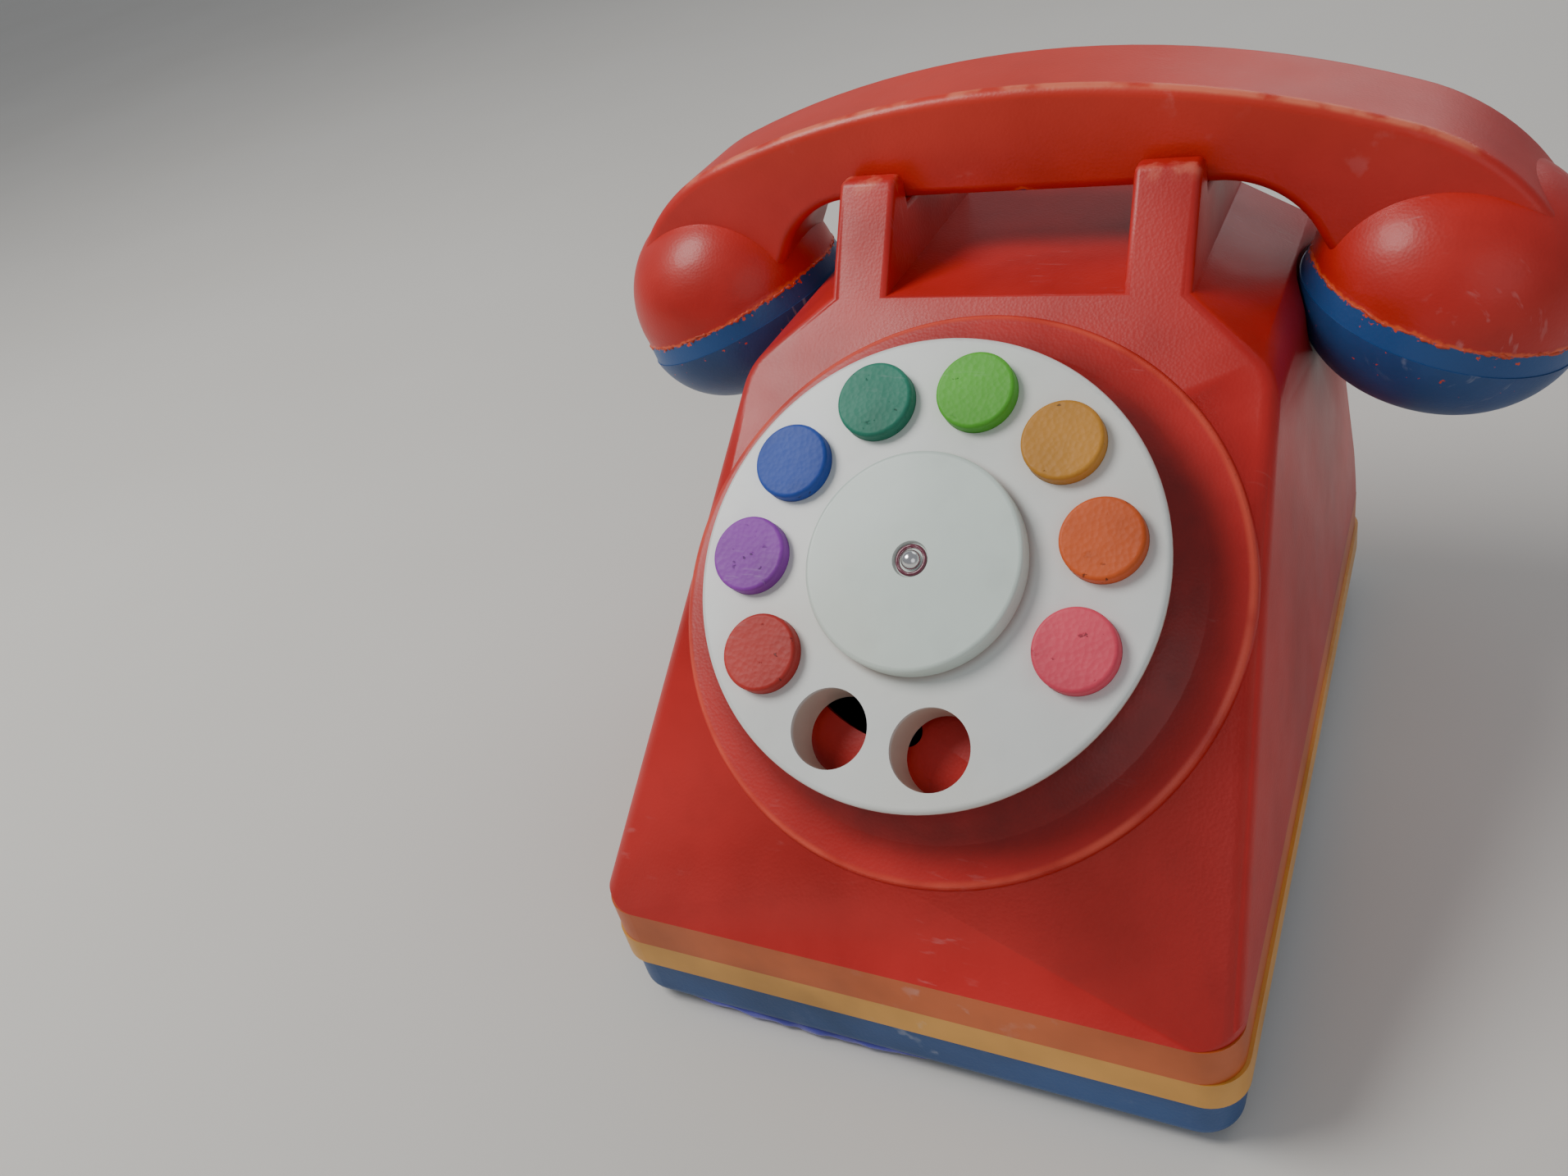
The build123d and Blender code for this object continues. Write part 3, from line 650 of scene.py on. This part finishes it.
def waves(phase: np.ndarray, seed: int, layers: int = 6) -> np.ndarray:
    """Even, repeatable roughness: a sum of sines of whole-number frequency with falling size.

    Args:
        phase: Angles at which it is read.
        seed: Start of the random phases.
        layers: How many sines are added.

    Returns:
        Values of about -1 to 1.
    """
    random = np.random.default_rng(seed)
    total = np.zeros_like(phase)
    for layer in range(1, layers + 1):
        frequency = 2 * layer + int(random.integers(0, 3))
        total += np.sin(frequency * phase + random.uniform(0, 2 * np.pi)) / layer
    return total / 1.6


def close_ends(piece: bpy.types.Object) -> None:
    """Put a flat face on each open end of a tube, and turn every face outward.

    Args:
        piece: The tube.
    """
    work = bmesh.new()
    work.from_mesh(piece.data)
    bmesh.ops.holes_fill(work, edges=work.edges, sides=0)
    bmesh.ops.recalc_face_normals(work, faces=work.faces)
    work.to_mesh(piece.data)
    work.free()


def shaped_copy(node: str, name: str, cutter: bpy.types.Object) -> bpy.types.Object:
    """Copy a CAD node's mesh, keep only what lies inside a cutter, and shade it smooth between its edges.

    Args:
        node: The CAD node.
        name: The new piece's name.
        cutter: A closed piece, which is removed afterwards.

    Returns:
        The trimmed copy, which stands for the node.
    """
    source = frame["nodes"][node]
    work = bmesh.new()
    work.from_mesh(source.data)
    bmesh.ops.remove_doubles(work, verts=work.verts, dist=0.002 * MM)
    mesh = bpy.data.meshes.new(name)
    work.to_mesh(mesh)
    work.free()
    piece = bpy.data.objects.new(name, mesh)
    bpy.context.scene.collection.objects.link(piece)
    trim = piece.modifiers.new("trim", "BOOLEAN")
    trim.operation = "INTERSECT"
    trim.solver = "EXACT"
    trim.object = cutter
    graph = bpy.context.evaluated_depsgraph_get()
    trimmed = bpy.data.meshes.new_from_object(piece.evaluated_get(graph))
    piece.modifiers.clear()
    piece.data = trimmed
    bpy.data.objects.remove(cutter)
    trimmed.polygons.foreach_set("use_smooth", np.ones(len(trimmed.polygons), bool))
    trimmed.set_sharp_from_angle(angle=SHARP_ANGLE)
    trimmed.update()
    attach(piece, body_of(source)[0])
    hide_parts(node)
    return piece


# ---------------------------------------------------------------- sub-assemblies
@dataclass
class Body:
    """The wedge housing, its bands, the base tray and what is inside."""

    corner_radius: float = 9.0 * MM
    corner_spare: float = 0.02 * MM
    lip_radius: float = 59.9 * MM
    lip_round: float = 2.2 * MM
    lip_foot: float = -0.6 * MM
    dish_start: float = 50.6 * MM
    dish_height: float = 2.85 * MM
    dish_fall: float = 1.25 * MM
    film_start: float = -52.0 * MM
    film_end: float = 5.0 * MM
    film_curl: float = 1.25 * MM
    film_front: float = -87.8 * MM
    film_height: float = 1.9 * MM
    film_wall: float = 0.25 * MM

    def rounded_housing(self) -> bpy.types.Object:
        """Round the housing's upright corners, so that they follow the bands under it.

        The cutter is an upright prism on a rounded rectangle: each corner is a quarter circle, and the
        outline is carried straight up from below the housing to above its cradle.

        Returns:
            The rounded housing.
        """
        low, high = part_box("skirt_band")
        half = np.array(((high.x - low.x) / 2, (high.y - low.y) / 2)) + self.corner_spare
        turn = np.linspace(0, np.pi / 2, 14)[None, :] + np.arange(4)[:, None] * np.pi / 2
        signs = np.array(((1, 1), (-1, 1), (-1, -1), (1, -1)))[:, None, :]
        centre = signs * (half - self.corner_radius)
        ring = centre + self.corner_radius * np.stack([np.cos(turn), np.sin(turn)], -1)
        outline = ring.reshape(-1, 2)
        bottom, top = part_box("housing")
        levels = np.array((bottom.z - 5 * MM, top.z + 5 * MM))
        plan = np.broadcast_to(outline, (levels.size, *outline.shape))
        heights = np.broadcast_to(levels[:, None, None], (levels.size, len(outline), 1))
        walls = np.concatenate([plan, heights], -1)
        prism = surface("prism", walls, False, True)
        close_ends(prism)
        return shaped_copy("housing", "housing_shell", prism)

    def dish_lip(self) -> bpy.types.Object:
        """Build the soft round lip that ends the dish under the dial.

        A profile turned about the dial's axis. Its height falls along the dish as the three-quarter power
        of the way out, and past the crest it drops as a quarter circle. A flat underside inside the
        housing closes it.

        Returns:
            The lip.
        """
        out = np.array(DIAL_OUT)
        across = np.array((1.0, 0.0, 0.0))
        up = np.cross(out, across)
        slope = np.linspace(0, 1, 12)
        fall = np.linspace(0, np.pi / 2, 12)
        crest = self.lip_radius - self.lip_round
        inner_reach = self.dish_start + (crest - self.dish_start) * slope
        inner_height = self.dish_height - self.dish_fall * slope**0.75
        reach = np.concatenate([inner_reach, crest + self.lip_round * np.sin(fall[1:])])
        height = np.concatenate([inner_height, self.lip_foot + self.lip_round * np.cos(fall[1:])])
        turn = np.linspace(0, 2 * np.pi, 200, endpoint=False)[:, None]
        flat = np.cos(turn)[..., None] * across + np.sin(turn)[..., None] * up
        points = np.array(DIAL_FOOT) + reach[None, :, None] * flat + height[None, :, None] * out
        return surface("dish_lip", points, True, True)

    def curled_film(self) -> bpy.types.Object:
        """Build the curled strip under the front edge of the base.

        The strip runs along X. Its section is an arc of 210 degrees whose radius swells and shrinks with
        a sum of sines along the strip, and tapers to nothing at both ends as the root of a half sine.

        Returns:
            The strip.
        """
        run = np.linspace(0, 1, 160)[:, None]
        turn = np.radians(np.linspace(-115, 95, 18))[None, :]
        taper = np.sqrt(np.sin(np.pi * np.clip(run, 0.004, 0.996)))
        swell = 1 + 0.22 * waves(7 * run, 5) + 0.07 * np.sin(34 * run + 3 * turn)
        radius = self.film_curl * taper * swell
        x = self.film_start + (self.film_end - self.film_start) * run + 0 * turn
        y = self.film_front - radius * np.cos(turn)
        z = self.film_height + radius * np.sin(turn) * 0.95
        strip = surface("curled_film", np.stack([x, y, z], -1), False, False)
        wall = strip.modifiers.new("wall", "SOLIDIFY")
        wall.thickness = self.film_wall
        return strip

    def build(self) -> None:
        """Make the rounded shell, the lip and the strip, and dress every piece of the body."""
        red = DishedRed("housing_red", srgb(194, 27, 21), 0.42, grain=Grain.LEATHER, scuffs=0.18, coat=0.06)
        orange = Plastic("skirt_orange", srgb(205, 96, 32), 0.40, mottle=0.16, scuffs=0.4)
        yellow = Plastic("trim_gold", srgb(222, 158, 66), 0.38, mottle=0.14, scuffs=0.4)
        blue = Plastic("base_blue", srgb(30, 76, 132), 0.42, mottle=0.14, scuffs=0.5, grain=Grain.LEATHER)
        # The strip's colour is its own blue painted lighter and more violet: a painted sheen, on top of its
        # real glossy coat.
        film = Plastic("film_violet_sheen", srgb(84, 84, 196), 0.22, mottle=0.2, scuffs=0.6, coat=0.6)
        steel = Metal("stamped_steel", (0.55, 0.55, 0.56)).build()
        nylon = Plastic("nylon_cream", srgb(226, 220, 198), 0.5, scuffs=0.1).build()
        finishes = {
            "housing": red.build(),
            "skirt_band": orange.build(),
            "trim_band": yellow.build(),
            "base_tray": blue.build(),
            "battery_cells": Plastic("cell_wrap", srgb(52, 54, 60), 0.3, coat=0.4).build(),
            "battery_contacts": steel,
            "rubber_feet": Plastic("foot_rubber", srgb(36, 34, 34), 0.8, grain=Grain.ROUGH).build(),
            "speaker_frame": steel,
            "speaker_cone": Plastic("cone_paper", srgb(46, 42, 38), 0.9, grain=Grain.ROUGH).build(),
            "sound_board": Board("board_green").build(),
            "board_parts": Plastic("chip_black", srgb(30, 30, 33), 0.5).build(),
            "board_spacers": nylon,
            "case_screws": steel,
            "dial_bush": nylon,
            "click_spring": steel,
            "hook_bracket": steel,
        }
        finishes["battery_door"] = finishes["base_tray"]
        for node, material in finishes.items():
            dress(frame["nodes"][node], material)
        shell = self.rounded_housing()
        lip = self.dish_lip()
        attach(lip, "base")
        for piece in (shell, lip):
            dress(piece, finishes["housing"])
        strip = self.curled_film()
        dress(strip, film.build())
        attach(strip, "base")


@dataclass
class Dial:
    """The finger dial with its hub, rivet, coloured plugs and the parts on its spindle."""

    ring_radius: float = 2.75 * MM
    ring_tube: float = 0.42 * MM
    dimple_floor: float = 21.8 * MM

    def dimple_ring(self) -> bpy.types.Object:
        """Build the coloured ring that the rivet sits in.

        A torus round the dial's axis: the tube's centre circles at the ring's radius, and the tube's
        radius varies by a tenth with a sum of sines.

        Returns:
            The ring.
        """
        out = np.array(DIAL_OUT)
        across = np.array((1.0, 0.0, 0.0))
        up = np.cross(out, across)
        turn = np.linspace(0, 2 * np.pi, 72, endpoint=False)[:, None]
        tube = np.linspace(0, 2 * np.pi, 14, endpoint=False)[None, :]
        thick = self.ring_tube * (1 + 0.1 * waves(turn, 11)) + 0 * tube
        reach = self.ring_radius + thick * np.cos(tube)
        height = self.dimple_floor + thick * np.sin(tube)
        centre = np.array(DIAL_FOOT)
        flat = np.cos(turn)[..., None] * across + np.sin(turn)[..., None] * up
        points = centre + reach[..., None] * flat + height[..., None] * out
        return surface("dimple_ring", points, True, True)

    def build(self) -> None:
        """Make the dimple's ring and dress every piece of the dial."""
        wear = {"mottle": 0.04, "coat": 0.15}
        white = DialWhite("dial_white", srgb(226, 229, 226), 0.34, grime=0.10, scuffs=0.2, **wear)
        hub = DialWhite("hub_white", srgb(212, 226, 218), 0.33, grime=0.12, scuffs=0.35, **wear)
        steel = Metal("spindle_steel", (0.58, 0.58, 0.58)).build()
        finishes = {
            "dial_disc": white.build(),
            "dial_hub_cap": hub.build(),
            "dial_rivet": Metal("rivet_bright", (0.80, 0.79, 0.80), MetalLook.POLISHED).build(),
            "dial_spindle": steel,
            "click_wheel": Plastic("wheel_nylon", srgb(224, 216, 192), 0.5, scuffs=0.1).build(),
            "dial_spring": steel,
            "spindle_clip": steel,
        }
        plugs = {
            "pink": srgb(228, 66, 92),
            "orange": srgb(222, 92, 20),
            "gold": srgb(198, 134, 32),
            "lime": srgb(84, 180, 40),
            "teal": srgb(20, 128, 102),
            "blue": srgb(26, 72, 170),
            "purple": srgb(150, 54, 180),
            "red": srgb(190, 38, 28),
        }
        for name, colour in plugs.items():
            wear = {"mottle": 0.14, "grime": 0.3, "pits": 0.9, "grain": Grain.ROUGH}
            finishes[f"{name}_plug"] = Plastic(f"plug_{name}", colour, 0.55, **wear).build()
        for node, material in finishes.items():
            dress(frame["nodes"][node], material)
        ring = self.dimple_ring()
        dress(ring, Plastic("dimple_maroon", srgb(116, 44, 66), 0.3, coat=0.4).build())
        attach(ring, "dial")


@dataclass
class Hook:
    """The yoke that the handset presses down, and the coil spring under it."""

    coil_radius: float = 3.4 * MM
    wire_radius: float = 0.42 * MM
    coil_turns: float = 6.5

    def coil(self) -> bpy.types.Object:
        """Build the coil spring.

        A round wire carried along a helix about a vertical axis, with its section in the upright plane
        through that axis. The height is half a straight line and half a smooth step of the run, so the
        turns lie closer at both ends, which flat faces close.

        Returns:
            The spring.
        """
        low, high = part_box("hook_spring")
        centre = (low + high) / 2
        run = np.linspace(0, 1, 260)[:, None]
        tube = np.linspace(0, 2 * np.pi, 10, endpoint=False)[None, :]
        angle = 2 * np.pi * self.coil_turns * run
        eased = run * run * (3 - 2 * run) * 0.5 + run * 0.5
        bottom, span = low.z + self.wire_radius, high.z - low.z - 2 * self.wire_radius
        reach = self.coil_radius + self.wire_radius * np.cos(tube)
        x = centre.x + reach * np.cos(angle)
        y = centre.y + reach * np.sin(angle)
        z = bottom + span * eased + self.wire_radius * np.sin(tube)
        spring = surface("hook_coil", np.stack([x, y, z], -1), False, True)
        close_ends(spring)
        return spring

    def build(self) -> None:
        """Make the coil and dress the yoke."""
        yoke = Plastic("yoke_white", srgb(228, 228, 222), 0.4, scuffs=0.2)
        dress(frame["nodes"]["hook_yoke"], yoke.build())
        coil = self.coil()
        dress(coil, Metal("spring_steel", (0.6, 0.6, 0.6)).build())
        low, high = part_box("hook_spring")
        middle = (low + high) / 2
        start = (middle.x, middle.y, low.z)
        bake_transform(coil, "base", "hook", start=start, end=(middle.x, middle.y, high.z))
        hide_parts("hook_spring")


@dataclass
class Handset:
    """The lift-off handset: handle, two caps and the ragged bead of paint on each bell."""

    flash_tube: float = 0.30 * MM
    flash_sink: float = 0.55 * MM
    flash_wander: float = 0.35 * MM

    def flash(self, side: int, seed: int) -> bpy.types.Object:
        """Build the ragged bead where the paint ends on a bell.

        A torus round the bell's tilted axis. The tube's radius swells and shrinks with two sums of
        sines round the bell, between a twelfth and one and a half times the set radius, which leaves
        crumbs and almost bare stretches, and the line wanders up and down with a third.

        Args:
            side: -1 on the left, 1 on the right.
            seed: Start of the random phases.

        Returns:
            The bead.
        """
        along = np.array((side * BELL_UP[0], 0.0, BELL_UP[2]))
        across = np.array((BELL_UP[2], 0.0, -side * BELL_UP[0]))
        back = np.array((0.0, 1.0, 0.0))
        turn = np.linspace(0, 2 * np.pi, 720, endpoint=False)[:, None]
        tube = np.linspace(0, 2 * np.pi, 10, endpoint=False)[None, :]
        ragged = np.clip(0.62 + 0.5 * waves(7 * turn, seed) + 0.45 * waves(23 * turn, seed + 1), 0.08, 1.5)
        thick = self.flash_tube * ragged + 0 * tube
        reach = BELL_RADIUS - self.flash_sink + thick * np.cos(tube)
        line = PAINT_LINE + self.flash_wander * waves(5 * turn, seed + 2)
        lift = line + thick * np.sin(tube) * 1.3
        centre = np.array((side * BELL_RIM[0], BELL_RIM[1], BELL_RIM[2]))
        flat = np.cos(turn)[..., None] * across + np.sin(turn)[..., None] * back
        points = centre + reach[..., None] * flat + lift[..., None] * along
        name = "ear_flash" if side < 0 else "mouth_flash"
        return surface(name, points, True, True)

    def build(self) -> None:
        """Make the beads and dress the handle and the caps."""
        red = HandleRed("handset_red", srgb(198, 32, 21), 0.42, grain=Grain.LEATHER, scuffs=0.3, coat=0.06)
        blue = CapBlue("cap_blue", CAP_COLOUR, 0.40, mottle=0.14, scuffs=0.5, grain=Grain.LEATHER).build()
        dress(frame["nodes"]["handset_handle"], red.build())
        dress(frame["nodes"]["ear_cap"], blue)
        dress(frame["nodes"]["mouth_cap"], blue)
        crumb = Plastic("flash_orange", srgb(220, 78, 40), 0.5, mottle=0.2, grain=Grain.ROUGH).build()
        for side, seed in ((-1, 21), (1, 34)):
            ring = self.flash(side, seed)
            dress(ring, crumb)
            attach(ring, "handset")


@dataclass(frozen=True)
class Lamp:
    """One soft area light."""

    name: str
    place: Triple
    size: float
    power: float
    colour: Triple = (1.0, 1.0, 1.0)

    def build(self, aim: Vector) -> None:
        """Place the light so that it faces a point.

        Args:
            aim: The point it faces.
        """
        light = bpy.data.lights.new(self.name, "AREA")
        light.shape = "DISK"
        light.size = self.size
        light.energy = self.power
        light.color = self.colour
        lamp = bpy.data.objects.new(self.name, light)
        lamp.location = self.place
        lamp.rotation_euler = (aim - Vector(self.place)).to_track_quat("-Z", "Y").to_euler()
        bpy.context.scene.collection.objects.link(lamp)
        LOG.info("lamp %s of %.1f W", self.name, self.power)


@dataclass
class Studio:
    """Floor, soft lights and the camera."""

    camera_place: Triple = (0.0917, -0.2233, 0.2373)
    camera_aim: Triple = (-0.0223, -0.0534, 0.0936)
    camera_roll: float = -15.27
    camera_lens: float = 30.10
    floor_size: float = 14.0
    lamps: tuple[Lamp, ...] = (
        Lamp("key", (-0.60, -0.25, 0.90), 0.50, 7.5, (1.0, 0.98, 0.95)),
        Lamp("fill", (0.80, -0.80, 0.60), 0.9, 1.6, (0.96, 0.98, 1.0)),
        Lamp("back", (0.25, 0.95, 0.75), 0.8, 2.2),
    )

    def floor(self) -> None:
        """Lay a plain pale floor: a flat grid whose height is zero everywhere."""
        half = self.floor_size / 2
        x, y = np.meshgrid(np.linspace(-half, half, 9), np.linspace(-half, half, 9))
        plane = surface("floor", np.stack([x, y, 0 * x], -1), False, False)
        graph = Graph("floor_paper")
        colour = graph.blend(graph.noise(6.0, 3.0), srgb(214, 211, 205), srgb(222, 220, 215))
        dress(plane, graph.finish({"Base Color": colour, "Roughness": 0.85}))

    def camera(self) -> None:
        """Place the camera, aim it, then roll it about its own line of sight."""
        data = bpy.data.cameras.new("camera")
        data.lens = self.camera_lens
        data.sensor_width = 36.0
        data.clip_start = 0.01
        camera = bpy.data.objects.new("camera", data)
        look = Vector(self.camera_aim) - Vector(self.camera_place)
        turn = look.to_track_quat("-Z", "Y") @ Quaternion((0, 0, 1), math.radians(self.camera_roll))
        camera.matrix_world = Matrix.Translation(self.camera_place) @ turn.to_matrix().to_4x4()
        bpy.context.scene.collection.objects.link(camera)
        bpy.context.scene.camera = camera

    def build(self) -> None:
        """Set up the floor, the lights, the sky and the camera."""
        world = bpy.data.worlds.new("soft_sky")
        world.use_nodes = True
        sky = world.node_tree.nodes["Background"]
        sky.inputs["Color"].default_value = (0.92, 0.95, 1.0, 1)
        sky.inputs["Strength"].default_value = 0.30
        bpy.context.scene.world = world
        low, high = CAD_BOX
        for lamp in self.lamps:
            lamp.build((low + high) / 2)
        self.floor()
        self.camera()


def main() -> None:
    """Build the sub-assemblies in order, then the studio."""
    logging.basicConfig(level=logging.INFO, format="%(name)s: %(message)s")
    for assembly in (Body(), Dial(), Hook(), Handset(), Studio()):
        LOG.info("building %s", type(assembly).__name__)
        assembly.build()


if __name__ == "__main__":
    main()
